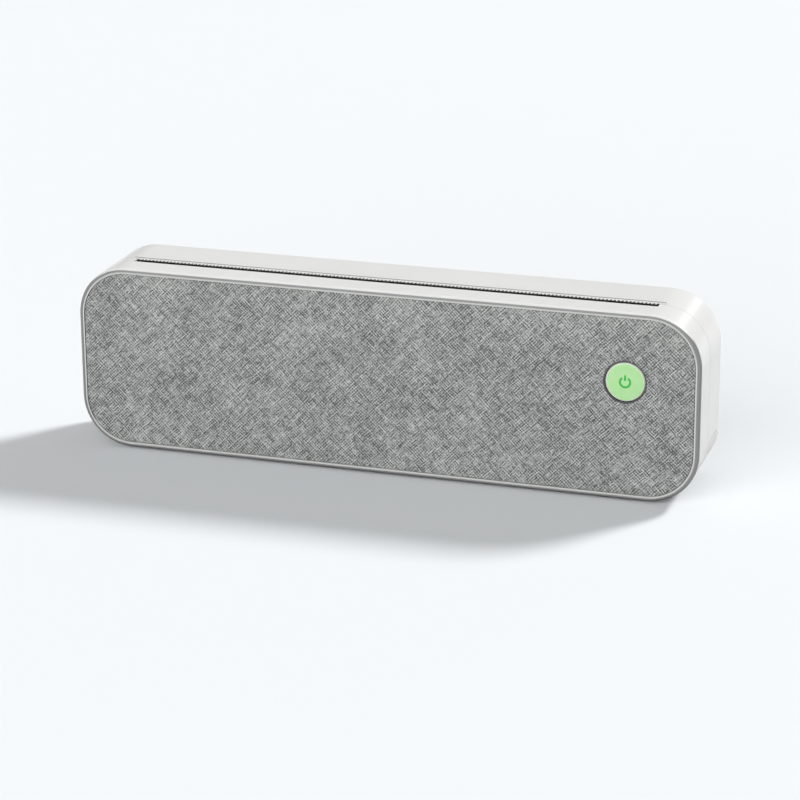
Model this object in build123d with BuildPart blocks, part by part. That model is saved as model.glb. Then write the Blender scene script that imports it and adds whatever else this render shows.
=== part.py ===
from build123d import *
import os
from math import acos, cos, pi, radians, sin, tan

# Portable thermal printer for rolls of A4 width.
# Frame: +X along the paper slot, -Y out of the cloth front, +Z up,
# with the origin on the table under the middle of the printer. Millimetres.

# ---- Housing ----
body_width = 265.2
body_height = 78.6
body_depth = 39.5
corner_radius = 21.3
back_edge_radius = 1.2
shell_wall = 2.0
seam_gap = 0.3
foot_height = 0.6
overcut = 1.0

front_y = -body_depth / 2
back_y = body_depth / 2
bottom_z = foot_height
top_z = foot_height + body_height
middle_z = foot_height + body_height / 2
half_width = body_width / 2
corner_centre_z = bottom_z + corner_radius
wall_under_z = top_z - shell_wall
cover_inner_y = back_y - shell_wall

# ---- Front: trim ring, cloth, panel ----
ring_depth = 1.6
ring_round = 1.35
ring_groove = 0.2
ring_groove_depth = 0.35
ring_lip = 0.65
cloth_recess = 0.1
cloth_thickness = 0.5
panel_fit = 0.2
ring_back_y = front_y + ring_depth
shell_front_inner_y = ring_back_y + shell_wall
opening_inset = ring_round + ring_groove + ring_lip
cloth_front_y = front_y + cloth_recess
panel_front_y = cloth_front_y + cloth_thickness

# ---- Power button ----
button_end_margin = 30.6
button_top_margin = 28.9
button_radius = 8.1
button_travel = 0.6
button_gap = 0.25
button_recess = 0.35
button_edge = 0.45
button_flange = 0.7
button_flange_thickness = 0.8
collar_recess = 0.1
collar_wall = 0.45
collar_fit = 0.05
collar_flange_radius = 9.8
collar_flange_thickness = 0.8
switch_gap = 0.15
switch_height = 1.2
switch_size = 6.0
switch_body_share = 0.6
button_board_thickness = 0.8
button_board_half_height = 5.4
button_board_left = 16.0
button_board_right = 6.6
button_pad_offset_x = 13.5
button_pad_offset_z = 3.4
button_pad_radius = 1.6
sleeve_room = 0.3
button_x = half_width - button_end_margin
button_z = top_z - button_top_margin
collar_bore = button_radius + button_gap
collar_radius = collar_bore + collar_wall
button_hole_radius = collar_radius + collar_fit
collar_back_y = shell_front_inner_y + collar_flange_thickness
cap_flange_y = collar_back_y + 0.1
cap_back_y = cap_flange_y + button_flange_thickness
switch_top_y = cap_back_y + button_travel + switch_gap
button_board_y = switch_top_y + switch_height
button_board_back_y = button_board_y + button_board_thickness

# ---- Paper slot, tear bar and parting line ----
slot_end_margin = 20.6
slot_front_depth = 11.9
slot_gap = 1.8
slot_guide_wall = 0.8
slot_guide_drop = 5.2
slot_guide_flange = 6.0
slot_guide_flange_thickness = 1.0
strip_back_depth = 18.2
strip_thickness = 1.4
strip_drop = 0.2
strip_ear = 2.0
strip_seam = 0.5
strip_end_gap = 0.15
tooth_pitch = 1.0
tooth_depth = 0.8
tooth_edge = 0.2
tooth_undercut = 2.0
holder_thickness = 2.4
holder_reach = 4.0
holder_nose = 1.0
peg_length = 4.0
peg_width = 0.8
peg_depth = 1.2
peg_share = 0.8
side_parting_depth = 17.4
slot_parting_depth = 15.7
parting_step_offset = 5.5
parting_step_width = 5.5
slot_half_length = half_width - slot_end_margin
slot_front_y = front_y + slot_front_depth
guide_wall_y = slot_front_y + slot_guide_wall
tooth_tip_y = guide_wall_y + slot_gap
tooth_root_y = tooth_tip_y + tooth_depth
strip_half_length = slot_half_length + strip_ear
strip_back_y = front_y + strip_back_depth
strip_edge_y = strip_back_y - strip_seam / 2
recess_back_y = strip_back_y + strip_seam / 2
strip_top_z = top_z - strip_drop
strip_bottom_z = strip_top_z - strip_thickness
holder_front_y = tooth_tip_y + tooth_undercut
holder_back_y = recess_back_y + holder_reach
holder_bottom_z = strip_bottom_z - holder_thickness
side_parting_y = front_y + side_parting_depth
slot_parting_y = front_y + slot_parting_depth
parting_step_x = slot_half_length + parting_step_offset

# ---- Running and seated fits ----
running_clearance = 0.05
seated_clearance = 0.02

# ---- Paper bay ----
bay_end_margin = 3.0
bay_front_gap = 0.85
bay_back_gap = 3.25
bay_clearance = 0.3
cradle_wall = 1.2
base_wall = 2.6
end_wall = 1.8
bay_half_length = slot_half_length - bay_end_margin
cradle_front_y = shell_front_inner_y + bay_front_gap
cradle_inner_y = cradle_front_y + cradle_wall
bay_back_y = back_y - bay_back_gap
bay_radius = (bay_back_y - cradle_inner_y) / 2
bay_y = cradle_inner_y + bay_radius
bay_z = bottom_z + base_wall + cradle_wall + bay_radius
cradle_radius = bay_radius + cradle_wall
roll_radius = bay_radius - bay_clearance
end_wall_outer = bay_half_length + end_wall

# ---- Cover hinge ----
barrel_radius = 1.6
barrel_clearance = 0.35
hinge_pin_radius = 0.75
hinge_rise = 0.1
hinge_end_margin = 39.0
cover_knuckle_length = 20.0
base_knuckle_length = 6.0
knuckle_side_gap = 0.2
hinge_station_x = bay_half_length - hinge_end_margin
hinge_y = back_y - barrel_radius
hinge_z = corner_centre_z + hinge_rise
barrel_sweep = barrel_radius + barrel_clearance
knuckle_outer = cover_knuckle_length / 2 + knuckle_side_gap + base_knuckle_length

# ---- End pods ----
pod_clearance = 0.5
pod_wall = 1.5
pod_back_gap = 0.75
pod_front_gap = 0.15
pod_inset = shell_wall + pod_clearance
pod_back_y = cover_inner_y - pod_back_gap
pod_inner_back_y = pod_back_y - pod_wall
pod_front_y = shell_front_inner_y + pod_front_gap
pod_inner_x = half_width - pod_inset - pod_wall
left_inner_x = end_wall_outer + end_wall

# ---- Platen ----
platen_drop = 15.2
platen_radius = 6.0
platen_core_radius = 3.0
platen_neck_radius = 2.0
platen_end_gap = 3.0
head_face_offset = 1.5
nip_gap = 0.1
bracket_wall = 2.0
bracket_gap = 0.6
bracket_radius = 5.5
bracket_lean = 3.0
bracket_drop = 14.0
bracket_heel = 1.0
bush_radius = 3.5
notch_clearance = 0.15
fuse = 0.5
head_face_y = slot_front_y + head_face_offset
platen_y = head_face_y + nip_gap + platen_radius
platen_z = top_z - platen_drop
platen_half_length = bay_half_length - platen_end_gap
bracket_x = platen_half_length + bracket_gap
bracket_outer_x = bracket_x + bracket_wall
notch_radius = bush_radius + notch_clearance

# ---- Stiffening ribs of the cover ----
rib_thickness = 1.2
rib_platen_gap = 1.5
rib_clearance = 1.0
rib_top_setback = 2.0
rib_top_drop = 2.5
rib_shoulder = 4.0
rib_toe = 2.0
rib_spacing = bay_half_length / 3
rib_low_z = bay_z + bay_radius - 1.0

# ---- Finger scoop ----
scoop_width = 30.0
scoop_height = 14.0
scoop_depth = 0.9

# ---- Print head ----
head_end_gap = 1.0
ceramic_thickness = 1.0
ceramic_height = 12.0
glaze_radius = 3.0
glaze_rise = 0.25
sink_thickness = 3.5
sink_drop = 16.0
head_rise = 5.0
head_rod_radius = 1.0
head_rod_rise = 2.2
head_half_length = bay_half_length - head_end_gap
head_top_z = platen_z + head_rise
sink_bottom_z = platen_z - sink_drop
head_rod_z = sink_bottom_z + head_rod_rise
sink_front_y = head_face_y - ceramic_thickness
sink_back_y = sink_front_y - sink_thickness
head_rod_y = (sink_front_y + sink_back_y) / 2

# ---- Ramp from the roll up to the head ----
ramp_head_gap = 1.0
ramp_height = 8.0
ramp_lip = 0.8
ramp_lip_height = 0.5
ramp_setback = 0.15
ramp_end_y = head_face_y + ramp_setback
ramp_end_z = sink_bottom_z - ramp_head_gap
ramp_start_z = ramp_end_z - ramp_height

# ---- Head springs and their plate ----
spring_end_margin = 36.0
spring_rise = 1.0
spring_half_span = 10.0
spring_foot = 3.0
spring_strip = 0.3
spring_width = 4.0
plate_thickness = 1.0
plate_gap = 0.3
plate_below = 3.5
plate_above = 6.0
plate_end_gap = 0.1
tab_height = 4.0
staple_length = 1.5
staple_wall = 0.6
staple_gap = 0.05
spring_spacing = head_half_length - spring_end_margin
spring_z = platen_z + spring_rise
plate_back_y = pod_front_y + plate_gap
plate_face_y = plate_back_y + plate_thickness

# ---- Gears, in the right pod ----
gear_module = 0.6
pressure_angle = radians(20)
tooth_addendum = 0.9
tooth_dedendum = 1.2
tooth_thinning = 0.12
gear_centre_ease = 0.06
platen_teeth = 20
idler_teeth = 24
small_teeth = 14
large_teeth = 34
pinion_teeth = 14
gear_width = 3.0
drive_width = 2.5
gear_gap = 0.5
gear_side_gap = 0.8
gear_way_margin = 0.6
gear_bore_radius = 1.0
gear_plate_thickness = 1.0
gear_plate_margin = 2.0
gear_plate_top = 5.0
idler_direction = radians(235.4)
reduction_direction = radians(-58)
pinion_direction = radians(-72)
motor_radius = 8.0
motor_length = 7.0
motor_boss_radius = 2.5
motor_boss_gap = 0.1
motor_shaft_radius = 0.75
motor_shaft_reach = 3.0
motor_bore_depth = 4.0
post_tip = 0.4
inner_gear_x = end_wall_outer + gear_side_gap
drive_gear_x = inner_gear_x + gear_width + gear_gap
gear_plate_x = drive_gear_x + drive_width + gear_gap
motor_x = gear_plate_x + gear_plate_thickness

# ---- Left pod: board, socket, battery ----
board_thickness = 1.2
board_setback = 6.4
board_low_rise = 0.1
board_high_rise = 2.1
board_end_gap = 1.0
chip_size = 9.0
chip_height = 1.2
chip_inset = 2.6
chip_rise = 4.0
chip_pitch = 18.0
socket_rise = 0.1
socket_setback = 0.2
socket_width = 9.0
socket_height = 3.2
socket_length = 7.3
socket_wall = 0.3
socket_back_wall = 1.0
socket_hole_clearance = 0.4
socket_mouth_room = 0.3
tongue_width = 6.6
tongue_thickness = 0.7
tongue_setback = 0.8
tongue_root = 0.5
battery_width = 13.5
battery_depth = 18.0
battery_height = 42.0
battery_gap = 1.5
battery_edge = 2.0
board_y = pod_front_y + board_setback
board_back_y = board_y + board_thickness
board_low_z = corner_centre_z + board_low_rise
board_high_z = top_z - corner_radius + board_high_rise
board_end_x = -pod_inner_x + board_end_gap
socket_y = board_y - socket_height / 2
socket_z = middle_z + socket_rise
socket_outer_x = -half_width + shell_wall + socket_setback
battery_y = board_back_y + battery_gap

# ---- Paper guide ----
guide_end_gap = 3.8
guide_travel = 154.0
guide_thickness = 1.6
guide_radius_gap = 0.7
guide_rim = 5.0
guide_fit = 0.15
groove_width = 5.0
groove_neck = 2.4
groove_height = 1.1
groove_floor = 1.6
groove_land = 2.0
groove_end_room = 3.5
guide_x = bay_half_length - guide_end_gap
guide_radius = roll_radius - guide_radius_gap
groove_floor_z = bottom_z + groove_floor
groove_low_x = guide_x - guide_travel - groove_end_room

# ---- Fasteners and feet ----
shell_screw_spacing = 78.0
shell_screw_drop = 5.0
screw_radius = 1.0
screw_head_radius = 1.9
screw_head_height = 1.0
screw_length = 3.8
boss_radius = 3.0
foot_length = 22.0
foot_width = 7.0
foot_corner_radius = 3.3
foot_recess = 0.5
foot_fit = 0.1
foot_end_margin = 44.6
foot_edge_margin = 8.25
shell_screw_z = ramp_start_z - shell_screw_drop
foot_spacing = body_width - 2 * foot_end_margin
front_foot_y = front_y + foot_edge_margin
rear_foot_y = back_y - foot_edge_margin


def front_plane(y):
    """Sketch plane across the printer at depth y; extruding goes towards the front."""
    return Plane.XZ.offset(-y)


def side_plane(x):
    """Sketch plane along the depth at length x; extruding goes towards +X."""
    return Plane.YZ.offset(x)


def draw_housing(inset, mode=Mode.ADD):
    """Draw the rounded outline of the housing, drawn in by inset, in the open sketch."""
    width, height = body_width - 2 * inset, body_height - 2 * inset
    with Locations((0, middle_z)):
        RectangleRounded(width, height, corner_radius - inset, mode=mode)


def housing_outline(y, inset=0.0):
    """Rounded outline of the housing, drawn in by inset, on the plane at depth y."""
    with BuildSketch(front_plane(y)) as outline:
        draw_housing(inset)
    return outline.sketch


def side_profile(x, points):
    """Face across the depth at length x, drawn through (Y, Z) points."""
    with BuildSketch(side_plane(x)) as outline:
        with BuildLine():
            Polyline(*points, close=True)
        make_face()
    return outline.sketch


def button_circle(y, radius):
    """Circle about the button's axis on the plane at depth y."""
    with BuildSketch(front_plane(y)) as circle:
        with Locations((button_x, button_z)):
            Circle(radius)
    return circle.sketch


def screw_row(y, radius):
    """Circles about the three shell screws on the plane at depth y."""
    with BuildSketch(front_plane(y)) as row:
        with Locations((0, shell_screw_z)):
            with GridLocations(shell_screw_spacing, 1, 3, 1):
                Circle(radius)
    return row.sketch


def foot_pair(y, z, fit):
    """Outlines of the two feet at depth y, on the level z, made larger by fit."""
    with BuildSketch(Plane.XY.offset(z)) as pair:
        with Locations((0, y)):
            with GridLocations(foot_spacing, 1, 2, 1):
                length, width = foot_length + 2 * fit, foot_width + 2 * fit
                RectangleRounded(length, width, foot_corner_radius + fit)
    return pair.sketch


def front_region(rear_gap):
    """Everything in front of the parting line, seen from above, held back by rear_gap."""
    far = body_width
    side_y = side_parting_y - rear_gap
    slot_y = slot_parting_y - rear_gap
    outer_x = parting_step_x + parting_step_width
    with BuildSketch() as region:
        with BuildLine():
            Polyline(
                (-far, -far),
                (far, -far),
                (far, side_y),
                (outer_x, side_y),
                (parting_step_x, slot_y),
                (-parting_step_x, slot_y),
                (-outer_x, side_y),
                (-far, side_y),
                close=True,
            )
        make_face()
        bends = region.vertices().filter_by(lambda v: abs(v.X) < half_width)
        fillet(bends, radius=parting_step_width / 2)
    return region.sketch


def drop_disc(y, z, x, radius, length):
    """Solid round bar along +X from x, for pins, rollers, clearances and bores."""
    with BuildPart() as bar:
        with BuildSketch(side_plane(x)):
            with Locations((y, z)):
                Circle(radius)
        extrude(amount=length)
    return bar.part


def block(low, high):
    """Solid box between two corners."""
    size = [b - a for a, b in zip(low, high)]
    middle = tuple((a + b) / 2 for a, b in zip(low, high))
    with BuildPart() as solid:
        with Locations(middle):
            Box(*size)
    return solid.part


def hinge_knuckle_span(station, side, near, far):
    """Low and high X between two distances from a hinge station, on one side of it."""
    return sorted((station + side * near, station + side * far))


def involute(angle):
    return tan(angle) - angle


def tooth_outline(centre, teeth, phase):
    """Points of an involute spur gear; phase is the direction of one tooth."""
    pitch_radius = gear_module * teeth / 2
    base_radius = pitch_radius * cos(pressure_angle)
    tip_radius = pitch_radius + tooth_addendum * gear_module
    root_radius = pitch_radius - tooth_dedendum * gear_module
    half_tooth = pi / (2 * teeth) - tooth_thinning / (2 * pitch_radius)

    def half_angle(radius):
        inner = max(radius, base_radius)
        return half_tooth + involute(pressure_angle) - involute(acos(base_radius / inner))

    flank = [root_radius, pitch_radius, tip_radius]
    points = []
    for tooth in range(teeth):
        middle = phase + 2 * pi * tooth / teeth
        sides = [(r, middle - half_angle(r)) for r in flank]
        sides += [(r, middle + half_angle(r)) for r in reversed(flank)]
        points += [(centre[0] + r * cos(a), centre[1] + r * sin(a)) for r, a in sides]
    return points


def gear(x, width, centre, teeth, phase):
    """Solid spur gear from x, without its bore."""
    with BuildPart() as wheel:
        extrude(side_profile(x, tooth_outline(centre, teeth, phase)), amount=width)
    return wheel.part


def gear_centre(start, first_teeth, second_teeth, direction):
    """Centre of a gear in mesh with the one at start, in the given direction."""
    reach = gear_module * (first_teeth + second_teeth) / 2 + gear_centre_ease
    return (start[0] + reach * cos(direction), start[1] + reach * sin(direction))


def meshed_phase(first_phase, first_teeth, second_teeth, direction):
    """Phase that puts a gap of the second gear on the tooth line of the first."""
    first_pitch = 2 * pi / first_teeth
    second_pitch = 2 * pi / second_teeth
    share = (direction - first_phase) / first_pitch
    return direction + pi - second_pitch * (0.5 - share)


# ---- Gear train layout: platen gear, idler, reduction gear, motor pinion ----
platen_centre = (platen_y, platen_z)
idler_centre = gear_centre(platen_centre, platen_teeth, idler_teeth, idler_direction)
reduction_centre = gear_centre(idler_centre, idler_teeth, small_teeth, reduction_direction)
pinion_centre = gear_centre(reduction_centre, large_teeth, pinion_teeth, pinion_direction)
platen_phase = 0.0
idler_phase = meshed_phase(platen_phase, platen_teeth, idler_teeth, idler_direction)
small_phase = meshed_phase(idler_phase, idler_teeth, small_teeth, reduction_direction)
pinion_phase = meshed_phase(small_phase, large_teeth, pinion_teeth, pinion_direction)

# ---- Front shell: open at the back, slot edge in its top wall ----
with BuildPart() as front_shell:
    extrude(housing_outline(side_parting_y), amount=side_parting_y - ring_back_y)
    hollow_depth = side_parting_y - shell_front_inner_y
    hollow = housing_outline(side_parting_y, inset=shell_wall)
    extrude(hollow, amount=hollow_depth, mode=Mode.SUBTRACT)
    # the parting line steps forward beside the slot
    extrude(front_region(0), amount=top_z + overcut, mode=Mode.INTERSECT)
    # notch for the slot and the tear bar's teeth
    notch_low = (-slot_half_length, slot_front_y, holder_bottom_z)
    notch_high = (slot_half_length, side_parting_y + overcut, top_z + overcut)
    add(block(notch_low, notch_high), mode=Mode.SUBTRACT)
    # button hole, with two pads behind it for the button board
    button_hole = button_circle(shell_front_inner_y, button_hole_radius)
    extrude(button_hole, amount=shell_wall + overcut, mode=Mode.SUBTRACT)
    with BuildSketch(front_plane(button_board_y)):
        with Locations((button_x - button_pad_offset_x, button_z)):
            with GridLocations(1, 2 * button_pad_offset_z, 1, 2):
                Circle(button_pad_radius)
    extrude(amount=button_board_y - shell_front_inner_y)
    # screw bosses that meet the cradle
    extrude(screw_row(cradle_front_y, boss_radius), amount=bay_front_gap)
    screw_bores = screw_row(cradle_front_y, screw_radius + seated_clearance)
    extrude(screw_bores, amount=screw_length - cradle_wall, mode=Mode.SUBTRACT)
    # charging socket mouth in the left end
    with BuildSketch(side_plane(-half_width - overcut)):
        with Locations((socket_y, socket_z)):
            SlotOverall(
                socket_width + 2 * socket_hole_clearance,
                socket_height + 2 * socket_hole_clearance,
                rotation=90,
            )
    extrude(amount=shell_wall + 2 * overcut, mode=Mode.SUBTRACT)
    # recesses for the front feet
    front_recess = foot_pair(front_foot_y, bottom_z, foot_fit)
    extrude(front_recess, amount=foot_recess, mode=Mode.SUBTRACT)

# ---- Slot guide: black strip in the slot's front edge, with a flange under the wall ----
with BuildPart() as slot_guide:
    guide_half = bay_half_length - plate_end_gap
    wall_low = (-guide_half, slot_front_y, top_z - slot_guide_drop)
    add(block(wall_low, (guide_half, guide_wall_y, strip_top_z)))
    liner_half = slot_half_length - seated_clearance
    liner_low = (-liner_half, slot_front_y, wall_under_z)
    add(block(liner_low, (liner_half, guide_wall_y, strip_top_z)))
    flange_low_z = wall_under_z - slot_guide_flange_thickness
    flange_low = (-guide_half, slot_front_y - slot_guide_flange, flange_low_z)
    add(block(flange_low, (guide_half, guide_wall_y, wall_under_z)))

# ---- Trim ring: rounded rim, fine groove and a thin lip round the cloth ----
with BuildPart() as front_trim_ring:
    extrude(housing_outline(ring_back_y), amount=ring_depth)
    fillet(front_trim_ring.faces().sort_by(Axis.Y)[0].edges(), radius=ring_round)
    opening = housing_outline(ring_back_y, inset=opening_inset)
    extrude(opening, amount=ring_depth, mode=Mode.SUBTRACT)
    with BuildSketch(front_plane(front_y + ring_groove_depth)):
        draw_housing(ring_round)
        draw_housing(ring_round + ring_groove, mode=Mode.SUBTRACT)
    extrude(amount=ring_groove_depth, mode=Mode.SUBTRACT)

# ---- Panel and the cloth stretched over it ----
with BuildPart() as front_panel:
    panel = housing_outline(ring_back_y, inset=opening_inset + panel_fit)
    extrude(panel, amount=ring_back_y - panel_front_y)
    panel_hole = button_circle(ring_back_y, button_hole_radius)
    extrude(panel_hole, amount=ring_depth, mode=Mode.SUBTRACT)

with BuildPart() as front_fabric:
    cloth = housing_outline(panel_front_y, inset=opening_inset + panel_fit)
    extrude(cloth, amount=cloth_thickness)
    cloth_hole = button_circle(panel_front_y, button_hole_radius)
    extrude(cloth_hole, amount=ring_depth, mode=Mode.SUBTRACT)

# ---- Button cap, sleeve and board ----
with BuildPart() as power_button:
    cap_front_y = front_y + button_recess
    extrude(button_circle(cap_back_y, button_radius), amount=cap_back_y - cap_front_y)
    chamfer(power_button.faces().sort_by(Axis.Y)[0].edges(), length=button_edge)
    cap_flange = button_circle(cap_back_y, button_radius + button_flange)
    extrude(cap_flange, amount=button_flange_thickness)

with BuildPart() as button_collar:
    sleeve_length = shell_front_inner_y - cloth_front_y - collar_recess
    extrude(button_circle(shell_front_inner_y, collar_radius), amount=sleeve_length)
    collar_flange = button_circle(collar_back_y, collar_flange_radius)
    extrude(collar_flange, amount=collar_flange_thickness)
    sleeve_bore = button_circle(collar_back_y, collar_bore)
    extrude(sleeve_bore, amount=collar_back_y - front_y, mode=Mode.SUBTRACT)

with BuildPart() as button_board:
    board_left = button_x - button_board_left
    board_right = button_x + button_board_right
    board_low = (board_left, button_board_y, button_z - button_board_half_height)
    board_high = (board_right, button_board_back_y, button_z + button_board_half_height)
    add(block(board_low, board_high))
    with BuildSketch(front_plane(button_board_y)):
        with Locations((button_x, button_z)):
            Rectangle(switch_size, switch_size)
    extrude(amount=switch_height * switch_body_share)
    extrude(button_circle(button_board_y, switch_size / 4), amount=switch_height)

# ---- Blank of the rear half, shared by the cover and the tray ----
with BuildPart() as rear_blank:
    extrude(housing_outline(back_y), amount=back_y - slot_parting_y)
    fillet(rear_blank.faces().sort_by(Axis.Y)[-1].edges(), radius=back_edge_radius)
    extrude(front_region(-seam_gap), amount=top_z + overcut, mode=Mode.SUBTRACT)

# ---- Rear cover ----
with BuildPart() as rear_cover:
    add(rear_blank.part)
    cover_hollow = housing_outline(cover_inner_y, inset=shell_wall)
    extrude(cover_hollow, amount=body_depth, mode=Mode.SUBTRACT)
    split(bisect_by=Plane.XY.offset(hinge_z + seam_gap / 2), keep=Keep.TOP)
    # hinge barrel along the lower edge
    barrel_half = half_width - back_edge_radius
    add(drop_disc(hinge_y, hinge_z, -barrel_half, barrel_radius, 2 * barrel_half))
    # brackets that carry the platen bushes
    wall_z = wall_under_z + fuse
    wall_y = cover_inner_y + fuse
    bracket_points = [
        (platen_y - bracket_lean, platen_z + bracket_lean),
        (platen_y, wall_z),
        (wall_y, wall_z),
        (wall_y, platen_z - bracket_drop),
        (platen_y + bracket_lean, platen_z - bracket_radius + bracket_heel),
    ]
    for bracket_start in (bracket_x, -bracket_outer_x):
        extrude(side_profile(bracket_start, bracket_points), amount=bracket_wall)
        add(drop_disc(*platen_centre, bracket_start, bracket_radius, bracket_wall))
        bush_seat = bush_radius + seated_clearance
        seat = drop_disc(*platen_centre, bracket_start, bush_seat, bracket_wall)
        add(seat, mode=Mode.SUBTRACT)
    # stiffening ribs that follow the platen and the roll
    rib_front_y = platen_y + platen_radius + rib_platen_gap
    rib_points = [
        (wall_y, rib_low_z),
        (wall_y, wall_z),
        (strip_back_y + rib_top_setback, wall_z),
        (strip_back_y + rib_top_setback, wall_under_z - rib_top_drop),
        (rib_front_y, platen_z + rib_shoulder),
        (rib_front_y, platen_z - bracket_drop),
        (cover_inner_y - rib_toe, rib_low_z + rib_toe),
    ]
    for rib in range(-2, 3):
        rib_start = rib * rib_spacing - rib_thickness / 2
        extrude(side_profile(rib_start, rib_points), amount=rib_thickness)
    rib_cut = platen_radius + rib_clearance
    platen_room = drop_disc(*platen_centre, -bracket_x, rib_cut, 2 * bracket_x)
    add(platen_room, mode=Mode.SUBTRACT)
    # gap in the top wall for the tear bar, and the seat of its holder
    recess_half = strip_half_length + strip_end_gap
    recess_low = (-recess_half, front_y, holder_bottom_z)
    recess_high = (recess_half, recess_back_y, top_z + overcut)
    add(block(recess_low, recess_high), mode=Mode.SUBTRACT)
    seat_high = (recess_half, holder_back_y + seated_clearance, wall_under_z)
    add(block(recess_low, seat_high), mode=Mode.SUBTRACT)
    # knuckle gaps, clearance round them and the pin bores
    for station in (-hinge_station_x, hinge_station_x):
        for side in (-1, 1):
            near, far = cover_knuckle_length / 2, knuckle_outer + knuckle_side_gap
            low_x, high_x = hinge_knuckle_span(station, side, near, far)
            gap_low = (low_x, hinge_y - barrel_sweep, hinge_z - barrel_sweep)
            gap_high = (high_x, back_y + overcut, hinge_z + barrel_sweep)
            add(block(gap_low, gap_high), mode=Mode.SUBTRACT)
        pin_room = hinge_pin_radius + running_clearance
        pin_start = station - knuckle_outer
        pin_bore = drop_disc(hinge_y, hinge_z, pin_start, pin_room, 2 * knuckle_outer)
        add(pin_bore, mode=Mode.SUBTRACT)
    # finger scoop at the top of the back
    with BuildSketch(front_plane(back_y)):
        with Locations((0, top_z)):
            Ellipse(scoop_width / 2, scoop_height / 2)
    extrude(amount=scoop_depth, mode=Mode.SUBTRACT)

# ---- Tear bar: a row of undercut teeth along the slot, with an ear at each end ----
peg_places = [place * peg_share * strip_half_length for place in (-1, 0, 1)]
peg_y = (holder_front_y + strip_edge_y) / 2
toothed_half = slot_half_length - seam_gap
tooth_count = int((2 * toothed_half - tooth_pitch) / tooth_pitch)
with BuildPart() as tear_bar:
    ear_front_y = slot_parting_y + seam_gap
    row_start = -tooth_count * tooth_pitch / 2
    edge = [
        (-strip_half_length, strip_edge_y),
        (-strip_half_length, ear_front_y),
        (-toothed_half, ear_front_y),
        (-toothed_half, tooth_root_y),
        (row_start, tooth_root_y),
    ]
    for tooth in range(tooth_count):
        tooth_x = row_start + tooth * tooth_pitch
        edge.append((tooth_x + tooth_pitch / 2, tooth_tip_y))
        edge.append((tooth_x + tooth_pitch, tooth_root_y))
    edge += [(-x, y) for x, y in reversed(edge[:4])]
    with BuildSketch(Plane.XY.offset(strip_bottom_z)):
        with BuildLine():
            Polyline(*edge, close=True)
        make_face()
    extrude(amount=strip_thickness)
    # the underside slopes up to a thin edge at the teeth
    undercut = [
        (tooth_tip_y, strip_top_z - tooth_edge),
        (holder_front_y, strip_bottom_z),
        (tooth_tip_y, strip_bottom_z),
    ]
    under = side_profile(-strip_half_length, undercut)
    extrude(under, amount=2 * strip_half_length, mode=Mode.SUBTRACT)
    # pegs that hold the bar in its holder
    for peg_x in peg_places:
        peg_low = (peg_x - peg_length / 2, peg_y - peg_width / 2, strip_bottom_z - peg_depth)
        add(block(peg_low, (peg_x + peg_length / 2, peg_y + peg_width / 2, strip_bottom_z)))

# ---- Tear bar holder: black rear wall of the slot, seated under the cover's edge ----
with BuildPart() as tear_bar_holder:
    step_y = recess_back_y - seated_clearance
    holder_points = [
        (holder_front_y, strip_bottom_z),
        (step_y, strip_bottom_z),
        (step_y, wall_under_z),
        (holder_back_y, wall_under_z),
        (holder_back_y, holder_bottom_z),
        (holder_front_y + holder_nose, holder_bottom_z),
        (holder_front_y, holder_bottom_z + holder_nose),
    ]
    extrude(side_profile(-strip_half_length, holder_points), amount=2 * strip_half_length)
    for peg_x in peg_places:
        hole_x = peg_length / 2 + seated_clearance
        hole_y = peg_width / 2 + seated_clearance
        hole_low = (peg_x - hole_x, peg_y - hole_y, holder_bottom_z)
        hole_high = (peg_x + hole_x, peg_y + hole_y, strip_bottom_z)
        add(block(hole_low, hole_high), mode=Mode.SUBTRACT)

# ---- Room that the platen gear needs to swing out of the right pod ----
gear_reach = gear_module * (platen_teeth / 2 + 1) + gear_way_margin
with BuildPart() as gear_way:
    way_low = (bay_half_length - overcut, platen_y - gear_reach, platen_z - gear_reach)
    add(block(way_low, (drive_gear_x - running_clearance, back_y, top_z)))
    keep_low = [edge - overcut for edge in way_low]
    sill_high = (end_wall_outer, back_y + overcut, platen_z - notch_radius)
    add(block(keep_low, sill_high), mode=Mode.SUBTRACT)
    post_high = (end_wall_outer, platen_y - notch_radius, top_z + overcut)
    add(block(keep_low, post_high), mode=Mode.SUBTRACT)

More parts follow.
